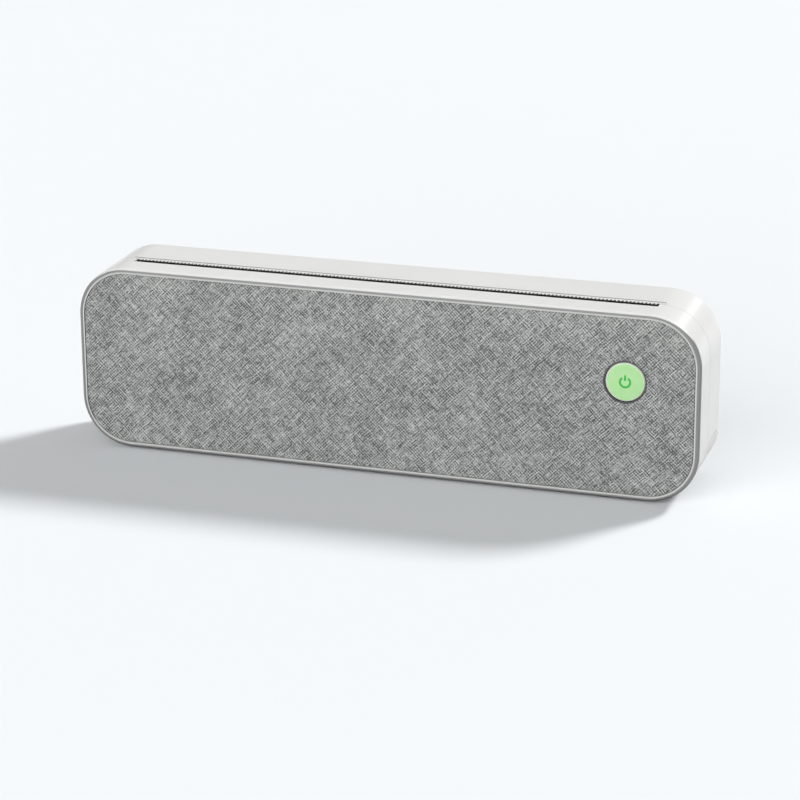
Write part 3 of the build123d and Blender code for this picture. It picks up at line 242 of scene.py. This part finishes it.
def woven_cloth():
    """Polyester upholstery weave laid on the bias, the yarns in turn raised and lighter, then low
    and darker as painted shade.

    Each yarn was dyed in patches, so it runs in streaks, and the yarns of one way
    and then of the other stand out a little more. The yarns are drawn 0.5 mm wide,
    about a third over the real ones, so that they show.
    """
    yarn_mm = 0.5
    waver_mm, waver_yarns = 8.0, 2.2
    patch_mm, cloud_mm, fibre_mm = 2.2, 22.0, 0.6
    material, tree, shader = new_material(
        "woven_melange_polyester", "6E6E6E", 0.85, IOR=1.5, Sheen_Weight=0.15, Sheen_Roughness=0.4
    )
    place = add_node(tree, "ShaderNodeTexCoord")
    # turned 45 degrees about the depth axis, flattened, and measured in yarn widths
    turned = add_node(
        tree,
        "ShaderNodeMapping",
        links={"Vector": place.outputs["Object"]},
        values={
            "Rotation": (0.0, math.radians(45), 0.0),
            "Scale": (1000 / yarn_mm, 0.0, 1000 / yarn_mm),
        },
    )
    # a slow waver keeps the yarns from being ruled lines
    waver = add_node(
        tree,
        "ShaderNodeTexNoise",
        links={"Vector": place.outputs["Object"]},
        values={"Scale": 1000 / waver_mm, "Detail": 1.5},
    )
    yarns = add_node(
        tree,
        "ShaderNodeVectorMath",
        operation="MULTIPLY_ADD",
        links={0: waver.outputs["Color"], 2: turned.outputs["Vector"]},
        values={1: (waver_yarns, waver_yarns, waver_yarns)},
    )
    lanes = add_node(
        tree, "ShaderNodeVectorMath", operation="FLOOR", links={0: yarns.outputs["Vector"]}
    )
    point = add_node(tree, "ShaderNodeSeparateXYZ", links={0: yarns.outputs["Vector"]})
    lane = add_node(tree, "ShaderNodeSeparateXYZ", links={0: lanes.outputs["Vector"]})
    tones, ridges = [], []
    for across, along, seed in (("X", "Z", 1.7), ("Z", "X", 9.2)):
        # one row of noise for each yarn, stretched along it into streaks
        row = add_node(
            tree,
            "ShaderNodeCombineXYZ",
            links={"X": lane.outputs[across], "Y": point.outputs[along]},
            values={"Z": seed},
        )
        stretched = add_node(
            tree,
            "ShaderNodeMapping",
            links={"Vector": row.outputs["Vector"]},
            values={"Scale": (7.31, 0.09, 1.0)},
        )
        streaks = add_node(
            tree,
            "ShaderNodeTexNoise",
            links={"Vector": stretched.outputs["Vector"]},
            values={"Scale": 1.0, "Detail": 3.0, "Roughness": 0.7},
        )
        # one wave is two yarns wide: it raises one yarn and sinks the next, and draws the raised
        # one lighter and the sunk one darker, as painted shade
        ridge_shade_wave = add_node(
            tree,
            "ShaderNodeTexWave",
            bands_direction=across,
            links={"Vector": yarns.outputs["Vector"]},
            values={"Scale": math.pi / 20, "Phase Offset": math.pi / 2},
        )
        tone = add_node(
            tree,
            "ShaderNodeMath",
            operation="MULTIPLY_ADD",
            links={0: ridge_shade_wave.outputs["Fac"], 2: streaks.outputs["Fac"]},
            values={1: 0.26},
        )
        tones.append(tone.outputs["Value"])
        ridges.append(ridge_shade_wave.outputs["Fac"])
    # patches a few millimetres wide where one way stands out, then the other
    patches = add_node(
        tree,
        "ShaderNodeTexNoise",
        links={"Vector": place.outputs["Object"]},
        values={"Scale": 1000 / patch_mm, "Detail": 2.0},
    )
    on_top = add_node(
        tree,
        "ShaderNodeMapRange",
        links={"Value": patches.outputs["Fac"]},
        values={"From Min": 0.4, "From Max": 0.6, "To Min": 0.28, "To Max": 0.72},
    )
    woven = add_node(
        tree,
        "ShaderNodeMix",
        data_type="FLOAT",
        links={"Factor": on_top.outputs["Result"], "A": tones[0], "B": tones[1]},
    )
    height = add_node(
        tree,
        "ShaderNodeMix",
        data_type="FLOAT",
        links={"Factor": on_top.outputs["Result"], "A": ridges[0], "B": ridges[1]},
    )
    # weak clouds about two centimetres wide, from yarn of uneven dye
    cloud = add_node(
        tree,
        "ShaderNodeTexNoise",
        links={"Vector": place.outputs["Object"]},
        values={"Scale": 1000 / cloud_mm, "Detail": 2.0},
    )
    clouded = add_node(
        tree,
        "ShaderNodeMath",
        operation="MULTIPLY_ADD",
        links={0: cloud.outputs["Fac"], 2: woven.outputs["Result"]},
        values={1: 0.14},
    )
    # loose fibre ends break up the yarns, without any direction
    fibres = add_node(
        tree,
        "ShaderNodeTexNoise",
        links={"Vector": place.outputs["Object"]},
        values={"Scale": 1000 / fibre_mm, "Detail": 1.0},
    )
    fuzz = add_node(
        tree,
        "ShaderNodeMapRange",
        links={"Value": fibres.outputs["Fac"]},
        values={"To Min": -0.2, "To Max": 0.2},
    )
    fuzzed = add_node(
        tree,
        "ShaderNodeMath",
        operation="ADD",
        links={0: clouded.outputs["Value"], 1: fuzz.outputs["Result"]},
    )
    ramp = add_node(tree, "ShaderNodeValToRGB", links={"Fac": fuzzed.outputs["Value"]})
    dark_yarn, light_yarn = ramp.color_ramp.elements
    dark_yarn.position, dark_yarn.color = 0.555, srgb("525453")
    light_yarn.position, light_yarn.color = 0.92, srgb("CCCFCD")
    tree.links.new(ramp.outputs["Color"], shader.inputs["Base Color"])
    bump = add_node(
        tree,
        "ShaderNodeBump",
        links={"Height": height.outputs["Result"]},
        values={"Strength": 1.0, "Distance": 0.1 * MM},
    )
    tree.links.new(bump.outputs["Normal"], shader.inputs["Normal"])
    return material


def toothed_bar():
    """Light moulded tear bar, with painted shade along its front.

    The dark band along the front and on every face that doesn't face up is painted shade,
    the shade deep in the slot. Its edge runs in and out with the teeth, so the light top
    starts behind it in a fine saw line. The line is drawn 1.6 mm from tooth to tooth,
    because the real 1 mm is too fine to show.
    """
    shade_band_mm, tooth_mm, pitch_mm = 0.1, 2.4, 1.6
    material, tree, shader = new_material("tear_bar_painted_slot_shade", "E8E8E6", 0.3, IOR=1.53)
    place = grain(tree, shader, size_mm=0.35, depth_mm=0.003)
    point = add_node(tree, "ShaderNodeSeparateXYZ", links={0: place.outputs["Object"]})
    facing = add_node(tree, "ShaderNodeSeparateXYZ", links={0: place.outputs["Normal"]})
    saw = add_node(
        tree,
        "ShaderNodeMath",
        operation="PINGPONG",
        links={0: point.outputs["X"]},
        values={1: pitch_mm * MM / 2},
    )
    edge = add_node(
        tree,
        "ShaderNodeMath",
        operation="MULTIPLY_ADD",
        links={0: saw.outputs["Value"]},
        values={1: 2 * tooth_mm / pitch_mm, 2: bar_low.y + shade_band_mm * MM},
    )
    behind = add_node(
        tree,
        "ShaderNodeMath",
        operation="GREATER_THAN",
        links={0: point.outputs["Y"], 1: edge.outputs["Value"]},
    )
    upward = add_node(
        tree,
        "ShaderNodeMath",
        operation="GREATER_THAN",
        links={0: facing.outputs["Z"]},
        values={1: 0.5},
    )
    unshaded_top = add_node(
        tree,
        "ShaderNodeMath",
        operation="MULTIPLY",
        links={0: behind.outputs["Value"], 1: upward.outputs["Value"]},
    )
    tone = add_node(
        tree, "ShaderNodeMix", data_type="RGBA", links={"Factor": unshaded_top.outputs["Value"]}
    )
    # the near-black is painted shade of the slot; the light colour is the bar's own white
    tone.inputs[6].default_value = srgb("262627")
    tone.inputs[7].default_value = srgb("E8E8E6")
    tree.links.new(tone.outputs[2], shader.inputs["Base Color"])
    return material


def glossy_cap(name, dark, light, roughness, glow=0.25):
    """Clear-coated polycarbonate with a little light in its depth."""
    material, tree, shader = new_material(
        name,
        light,
        roughness,
        IOR=1.58,
        Coat_Weight=0.4,
        Coat_Roughness=0.12,
        Subsurface_Weight=glow,
        Subsurface_Scale=0.001,
    )
    place = grain(tree, shader, size_mm=1.5, depth_mm=0.002)
    vary_colour(tree, shader, place, dark, light, size_mm=6)
    return material


shell_white = moulded_abs("moulded_abs_white", "E6E6E4", "E9E9E7", 0.24)
chassis_white = moulded_abs("moulded_abs_natural", "E1E1DF", "E5E5E3", 0.36)
ring_grey_painted_light = ring_with_painted_light()
panel_grey = moulded_abs("moulded_abs_grey", "4A4A4C", "525254", 0.55)
black_abs = moulded_abs("moulded_abs_black", "1E1E1F", "242425", 0.45)
cloth_grey = woven_cloth()
# grey of the seam strip: painted shade for the groove behind the tear bar
seam_painted_shade = moulded_abs("painted_seam_shade_grey", "949496", "9A9A9C", 0.6)
cap_cream = glossy_cap("polycarbonate_cream", "E4ECD6", "EDF3E0", 0.3)
cap_green = glossy_cap("polycarbonate_light_green", "AFE09D", "B5E4A3", 0.28)
mark_green = glossy_cap("pad_printed_green", "12A82A", "1CB434", 0.4, glow=0.0)
steel = brushed_metal("ground_steel", "B8BABD", 0.28, (0.02, 1.0, 1.0))
plated_steel = brushed_metal("zinc_plated_steel", "A9ABAE", 0.38, (1.0, 1.0, 0.05))
spring_steel = brushed_metal("drawn_spring_steel", "8E9094", 0.25, (1.0, 1.0, 1.0))
aluminium = brushed_metal("milled_aluminium", "C9CBCE", 0.34, (0.02, 1.0, 1.0))
platen_rubber = soft_rubber("ground_silicone_rubber", "1B1B1C", "242425", 0.7, 0.15, 0.006)
foot_rubber = soft_rubber("moulded_foot_rubber", "2A2A2B", "333334", 0.8, 0.4, 0.01)
acetal = moulded_acetal("moulded_acetal", "E3E0D4", "ECE9DE")


def solder_mask():
    """Glass-epoxy board under green solder mask, with faint copper tracks below it."""
    material, tree, shader = new_material(
        "solder_masked_board", "0E4A26", 0.32, IOR=1.55, Coat_Weight=0.5, Coat_Roughness=0.15
    )
    place = add_node(tree, "ShaderNodeTexCoord")
    tracks = add_node(
        tree,
        "ShaderNodeTexBrick",
        links={"Vector": place.outputs["Object"]},
        values={
            "Scale": 1000 / 2.2,
            "Mortar Size": 0.06,
            "Color1": srgb("0C4423"),
            "Color2": srgb("0F5029"),
            "Mortar": srgb("176B38"),
        },
    )
    tree.links.new(tracks.outputs["Color"], shader.inputs["Base Color"])
    return material


def glazed_ceramic():
    """Fired alumina with a glass glaze, and the dark heater line under it.

    The line lies level with the platen's axis, where the roller presses the paper on.
    """
    line_half_mm = 0.55
    material, tree, shader = new_material(
        "glazed_alumina", "CCC8BE", 0.18, IOR=1.6, Coat_Weight=0.6, Coat_Roughness=0.08
    )
    place = grain(tree, shader, size_mm=2.0, depth_mm=0.002)
    point = add_node(tree, "ShaderNodeSeparateXYZ", links={0: place.outputs["Object"]})
    near = add_node(
        tree,
        "ShaderNodeMath",
        operation="COMPARE",
        links={0: point.outputs["Z"]},
        values={1: platen_axis.z, 2: line_half_mm * MM},
    )
    tone = add_node(
        tree, "ShaderNodeMix", data_type="RGBA", links={"Factor": near.outputs["Value"]}
    )
    tone.inputs[6].default_value = srgb("CCC8BE")
    tone.inputs[7].default_value = srgb("4A3A2C")
    tree.links.new(tone.outputs[2], shader.inputs["Base Color"])
    return material


def shrink_film():
    """Blue shrink film over the cells: glossy, with the wrinkles that shrinking leaves."""
    material, tree, shader = new_material(
        "blue_shrink_film", "2B5FA0", 0.22, IOR=1.5, Coat_Weight=0.3, Coat_Roughness=0.1
    )
    place = grain(tree, shader, size_mm=5.0, depth_mm=0.12, detail=1.0)
    vary_colour(tree, shader, place, "26568F", "3068AC", size_mm=15)
    return material


FINISHES = {
    "front_shell": shell_white,
    "rear_cover": shell_white,
    "tear_bar": toothed_bar(),
    "tear_bar_holder": black_abs,
    "slot_guide": black_abs,
    "front_trim_ring": ring_grey_painted_light,
    "front_panel": panel_grey,
    "power_button": cap_cream,
    "button_collar": panel_grey,
    "button_board": solder_mask(),
    "chassis": chassis_white,
    "hinge_pins": steel,
    "platen_shaft": steel,
    "platen_roller": platen_rubber,
    "platen_bushes": acetal,
    "platen_gear": acetal,
    "idler_gear": acetal,
    "reduction_gear": acetal,
    "gear_posts": steel,
    "gear_plate": plated_steel,
    "stepper_motor": plated_steel,
    "motor_pinion": steel,
    "head_heatsink": aluminium,
    "print_head": glazed_ceramic(),
    "head_pivot_rod": steel,
    "head_spring_plate": plated_steel,
    "head_springs": spring_steel,
    "charging_socket": plated_steel,
    "battery_pack": shrink_film(),
    "paper_guide": shell_white,
    "shell_screws": plated_steel,
    "rubber_feet": foot_rubber,
}
FINISHES["main_board"] = FINISHES["button_board"]
for name, material in FINISHES.items():
    NODES[name].data.materials.clear()
    NODES[name].data.materials.append(material)


# ---- Tools for new pieces ----
def start_piece():
    """Object mode with nothing selected, so that an operator acts on the new piece only."""
    if bpy.context.mode != "OBJECT":
        bpy.ops.object.mode_set(mode="OBJECT")
    bpy.ops.object.select_all(action="DESELECT")


def pick(piece, kind, test):
    """In edit mode, selects the vertices, edges or faces whose middle passes test."""
    bpy.ops.object.mode_set(mode="OBJECT")
    mesh = piece.data
    for items in (mesh.vertices, mesh.edges, mesh.polygons):
        items.foreach_set("select", [False] * len(items))
    if kind == "FACE":
        for face in mesh.polygons:
            face.select = test(face.center, face.normal)
    elif kind == "EDGE":
        for edge in mesh.edges:
            ends = [mesh.vertices[i].co for i in edge.vertices]
            edge.select = test(*ends)
    else:
        for vertex in mesh.vertices:
            vertex.select = test(vertex.co)
    bpy.ops.object.mode_set(mode="EDIT")
    bpy.ops.mesh.select_mode(type=kind)


def settle(piece, name, material, body, smooth=40):
    """Places the finished piece's shape in its mesh and lets it ride on its body."""
    if bpy.context.mode != "OBJECT":
        bpy.ops.object.mode_set(mode="OBJECT")
    bpy.ops.object.select_all(action="DESELECT")
    piece.select_set(True)
    bpy.context.view_layer.objects.active = piece
    bpy.ops.object.transform_apply(location=True, rotation=True, scale=True)
    bpy.ops.object.shade_smooth_by_angle(angle=math.radians(smooth))
    piece.name = name
    piece.data.name = name
    piece.data.materials.clear()
    piece.data.materials.append(material)
    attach(piece, body)
    piece.select_set(False)


def apply_modifier(piece, kind, **settings):
    """Adds a modifier with these settings and applies it."""
    modifier = piece.modifiers.new(kind.title(), kind)
    for key, value in settings.items():
        setattr(modifier, key, value)
    bpy.context.view_layer.objects.active = piece
    bpy.ops.object.modifier_apply(modifier=modifier.name)


# ---- Cloth stretched over the front panel ----
def rounded_rectangle(centre, width, height, corner, segments):
    """A flat face in the front plane with rounded corners, still in edit mode."""
    start_piece()
    bpy.ops.mesh.primitive_plane_add(size=1, location=centre, rotation=UPRIGHT)
    piece = bpy.context.object
    bpy.ops.object.transform_apply(location=True, rotation=True, scale=True)
    bpy.ops.object.mode_set(mode="EDIT")
    bpy.ops.mesh.select_all(action="SELECT")
    bpy.ops.transform.resize(value=(width, 1, height), center_override=centre)
    bpy.ops.mesh.bevel(offset=corner, segments=segments, affect="VERTICES")
    return piece


def make_cloth():
    """The front cloth, its border rolled back to the panel's edge, with the button's hole."""
    corner_mm, corner_segments = 18.9, 14
    hole_radius_mm, cutter_depth_mm = 8.92, 4
    centre = (cloth_low + cloth_high) / 2
    centre.y = cloth_high.y
    width, height = (cloth_high - cloth_low).x, (cloth_high - cloth_low).z
    sheet = rounded_rectangle(centre, width, height, corner_mm * MM, corner_segments)

    def flat_front(middle, normal):
        return abs(middle.x - centre.x) < 1e-3 and abs(middle.z - centre.z) < 5e-3

    # the border rolls forward from the panel's edge to the flat front
    for inset_mm, rise_mm in ((0.02, 0.25), (0.1, 0.15), (0.22, 0.07), (0.35, 0.03)):
        pick(sheet, "FACE", flat_front)
        bpy.ops.mesh.inset(thickness=inset_mm * MM)
        bpy.ops.transform.translate(value=(0, -rise_mm * MM, 0))
    # round hole for the button's sleeve
    bpy.ops.object.mode_set(mode="OBJECT")
    start_piece()
    bpy.ops.mesh.primitive_cylinder_add(
        vertices=96,
        radius=hole_radius_mm * MM,
        depth=cutter_depth_mm * MM,
        location=(button_centre.x, centre.y, button_centre.z),
        rotation=UPRIGHT,
    )
    cutter = bpy.context.object
    apply_modifier(sheet, "BOOLEAN", object=cutter, operation="DIFFERENCE", solver="EXACT")
    bpy.data.objects.remove(cutter)
    settle(sheet, "stretched_front_cloth", cloth_grey, "housing")
    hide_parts("front_fabric")


make_cloth()


# ---- Button face and its mark ----
def turned_disc(name, centre, radius, depth, bevel, crown, material, body):
    """A round disc facing the front with a rolled edge and a slight crown."""
    start_piece()
    bpy.ops.mesh.primitive_cylinder_add(
        vertices=96, radius=radius, depth=depth, location=centre, rotation=UPRIGHT
    )
    disc = bpy.context.object
    bpy.ops.object.transform_apply(location=True, rotation=True, scale=True)
    front_y = centre[1] - depth / 2
    bpy.ops.object.mode_set(mode="EDIT")
    pick(disc, "EDGE", lambda a, b: abs(a.y - front_y) < 1e-6 and abs(b.y - front_y) < 1e-6)
    bpy.ops.mesh.bevel(offset=bevel, segments=5, affect="EDGES")

    def front_middle(middle, normal):
        off_centre = max(abs(middle.x - centre[0]), abs(middle.z - centre[2]))
        return normal.y < -0.99 and off_centre < 1e-4

    for share in (0.35, 0.4, 0.5):
        pick(disc, "FACE", front_middle)
        bpy.ops.mesh.inset(thickness=radius * 0.22)
        bpy.ops.transform.translate(value=(0, -crown * share, 0))
    settle(disc, name, material, body)
    return disc


cap_front_y = cap_low.y
face = turned_disc(
    "button_face",
    # 0.12 mm of it stands out of the cap's front, and the rest is sunk in it
    (button_centre.x, cap_front_y - 0.02 * MM, button_centre.z),
    radius=7.45 * MM,
    depth=0.2 * MM,
    bevel=0.08 * MM,
    crown=0.03 * MM,
    material=cap_green,
    body="button",
)


def power_mark():
    """The usual sign for power: a ring open at the top and a short bar through the gap."""
    ring_radius, stroke, thickness = 2.5 * MM, 0.85 * MM, 0.05 * MM
    open_degrees = 34  # to each side of the top
    bar_length, bar_rise = 2.5 * MM, 1.75 * MM
    centre = Vector((button_centre.x, cap_front_y - 0.19 * MM, button_centre.z))
    start_piece()
    bpy.ops.mesh.primitive_circle_add(
        vertices=72,
        radius=ring_radius,
        fill_type="NOTHING",
        location=centre,
        rotation=UPRIGHT,
    )
    mark = bpy.context.object
    bpy.ops.object.transform_apply(location=True, rotation=True, scale=True)

    def in_opening(v):
        from_top = math.atan2(abs(v.x - centre.x), v.z - centre.z)
        return math.degrees(from_top) < open_degrees

    bpy.ops.object.mode_set(mode="EDIT")
    pick(mark, "VERT", in_opening)
    bpy.ops.mesh.delete(type="VERT")
    pick(mark, "EDGE", lambda a, b: True)
    bpy.ops.mesh.extrude_edges_move()
    scale = 1 - stroke / ring_radius
    bpy.ops.transform.resize(value=(scale, 1, scale), center_override=centre)
    bpy.ops.object.mode_set(mode="OBJECT")
    apply_modifier(mark, "SOLIDIFY", thickness=thickness, offset=0)
    # the bar
    start_piece()
    bpy.ops.mesh.primitive_cube_add(size=1, location=centre + Vector((0, 0, bar_rise)))
    bar = bpy.context.object
    bar.scale = (stroke, thickness, bar_length)
    bpy.ops.object.transform_apply(location=True, rotation=True, scale=True)
    bpy.ops.object.mode_set(mode="EDIT")
    pick(bar, "EDGE", lambda a, b: abs(a.x - b.x) < 1e-6 and abs(a.z - b.z) < 1e-6)
    bpy.ops.mesh.bevel(offset=stroke * 0.48, segments=5, affect="EDGES")
    bpy.ops.object.mode_set(mode="OBJECT")
    mark.select_set(True)
    bar.select_set(True)
    bpy.context.view_layer.objects.active = mark
    bpy.ops.object.join()
    settle(mark, "power_mark", mark_green, "button")


power_mark()


# ---- Grey strip in the seam behind the tear bar, as painted shade ----
def seam_shade_strip():
    """Closes the seam between the bar and the cover, just below the cover's top. Its grey is
    painted shade, the shade in the groove and on the cover's edge behind the bar.
    """
    gap, seam_width = 0.02 * MM, 0.5 * MM
    low = Vector((bar_low.x + gap, bar_high.y + gap, bar_low.z))
    high = Vector((bar_high.x - gap, bar_high.y + seam_width - gap, cover_high.z - gap))
    start_piece()
    bpy.ops.mesh.primitive_cube_add(size=1, location=(low + high) / 2)
    strip = bpy.context.object
    strip.scale = high - low
    bpy.ops.object.transform_apply(location=True, rotation=True, scale=True)
    settle(strip, "seam_shade_strip", seam_painted_shade, "cover")


seam_shade_strip()


# ---- Bow springs behind the print head ----
def bow_springs():
    """The three leaf springs again, with doubled points merged, riding on the housing.
    """
    start_piece()
    springs = NODES["head_springs"].copy()
    springs.data = springs.data.copy()
    bpy.context.scene.collection.objects.link(springs)
    bpy.context.view_layer.objects.active = springs
    springs.select_set(True)
    bpy.ops.object.mode_set(mode="EDIT")
    bpy.ops.mesh.select_all(action="SELECT")
    bpy.ops.mesh.remove_doubles(threshold=1e-6)
    settle(springs, "bow_springs", spring_steel, "housing")
    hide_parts("head_springs")
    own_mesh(springs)


bow_springs()


# ---- Floor, lights, camera ----
def make_floor():
    """A plain floor that looks as pale as the backdrop but throws less light back."""
    start_piece()
    bpy.ops.mesh.primitive_plane_add(size=8, location=(0, 0, 0))
    floor = bpy.context.object
    floor.name = "studio_floor"
    material = bpy.data.materials.new("matt_paper_sweep")
    material.use_nodes = True
    tree = material.node_tree
    tree.nodes.clear()
    rays = add_node(tree, "ShaderNodeLightPath")
    # where a ray shows the floor, and doesn't only carry its light on
    seen = rays.outputs["Is Camera Ray"]
    for kind in ("Is Glossy Ray", "Is Transmission Ray"):
        either = add_node(
            tree,
            "ShaderNodeMath",
            operation="MAXIMUM",
            links={0: seen, 1: rays.outputs[kind]},
        )
        seen = either.outputs["Value"]
    colour = add_node(
        tree,
        "ShaderNodeMix",
        data_type="RGBA",
        links={"Factor": seen},
    )
    colour.inputs[6].default_value = (0.36, 0.36, 0.36, 1)
    colour.inputs[7].default_value = (0.83, 0.855, 0.87, 1)
    shader = add_node(
        tree,
        "ShaderNodeBsdfDiffuse",
        links={"Color": colour.outputs[2]},
        values={"Roughness": 0.0},
    )
    output = add_node(tree, "ShaderNodeOutputMaterial")
    tree.links.new(shader.outputs["BSDF"], output.inputs["Surface"])
    floor.data.materials.append(material)


make_floor()


def toward(azimuth, elevation):
    """Direction from the object; azimuth 0 is straight behind it, positive to its right."""
    a, e = math.radians(azimuth), math.radians(elevation)
    return Vector((math.sin(a) * math.cos(e), math.cos(a) * math.cos(e), math.sin(e)))


def add_lamp(name, kind, direction, strength):
    """A lamp in this direction that shines back at the object, and its data."""
    data = bpy.data.lights.new(name, kind)
    data.energy = strength
    lamp = bpy.data.objects.new(name, data)
    lamp.rotation_mode = "QUATERNION"
    lamp.rotation_quaternion = direction.to_track_quat("Z", "Y")
    bpy.context.scene.collection.objects.link(lamp)
    return lamp, data


def add_sun(name, direction, strength, angle):
    lamp, data = add_lamp(name, "SUN", direction, strength)
    data.angle = math.radians(angle)


def add_softbox(name, direction, distance, width, height, watts):
    lamp, data = add_lamp(name, "AREA", direction, watts)
    data.shape = "RECTANGLE"
    data.size, data.size_y = width, height
    lamp.location = direction.normalized() * distance + Vector((0, 0, 0.04))
    lamp.visible_camera = False


# the key light, from behind on the right, throws the one clear shadow
add_sun("key_sun", toward(39, 40), strength=2.6, angle=11)
add_sun("side_sun", toward(100, 5), strength=0.15, angle=20)
# so wide that the front is lit without a second shadow
add_sun("front_sun", toward(-172, 14), strength=2.82, angle=70)
# seen from the camera as the streak on the upper right corner
add_softbox("streak_softbox", toward(17.9, 19), 1.6, width=0.15, height=0.24, watts=0.3)

world = bpy.data.worlds.new("studio_world")
bpy.context.scene.world = world
world.use_nodes = True
tree = world.node_tree
tree.nodes.clear()
rays = add_node(tree, "ShaderNodeLightPath")
room = add_node(tree, "ShaderNodeBackground", values={"Color": (1, 1, 1, 1), "Strength": 0.32})
plain = add_node(tree, "ShaderNodeBackground", values={"Color": srgb("F4F8FA"), "Strength": 1.0})
mixed = add_node(
    tree,
    "ShaderNodeMixShader",
    links={0: rays.outputs["Is Camera Ray"], 1: room.outputs[0], 2: plain.outputs[0]},
)
add_node(tree, "ShaderNodeOutputWorld", links={"Surface": mixed.outputs[0]})


def make_camera():
    """A long lens above the right front, rolled by a hair, as the photograph's view is."""
    azimuth, elevation, roll = math.radians(18.03), math.radians(18.84), math.radians(-0.44)
    target, distance = Vector((0, -19.75 * MM, 39.9 * MM)), 1173.4 * MM
    back = Vector(
        (
            math.sin(azimuth) * math.cos(elevation),
            -math.cos(azimuth) * math.cos(elevation),
            math.sin(elevation),
        )
    )
    level = Vector((math.cos(azimuth), math.sin(azimuth), 0))
    up = back.cross(level)
    side = level * math.cos(roll) + up * math.sin(roll)
    rise = up * math.cos(roll) - level * math.sin(roll)
    data = bpy.data.cameras.new("camera")
    data.sensor_width = 36
    data.lens = 129.378
    data.shift_x = 0.0246
    data.shift_y = -0.0206
    data.clip_end = 20  # the far corners of the floor are inside it
    camera = bpy.data.objects.new("camera", data)
    turn = Matrix((side, rise, back)).transposed().to_4x4()
    camera.matrix_world = Matrix.Translation(target + back * distance) @ turn
    bpy.context.scene.collection.objects.link(camera)
    bpy.context.scene.camera = camera


make_camera()
bpy.context.scene.view_settings.view_transform = "Standard"

bpy.context.view_layer.update()
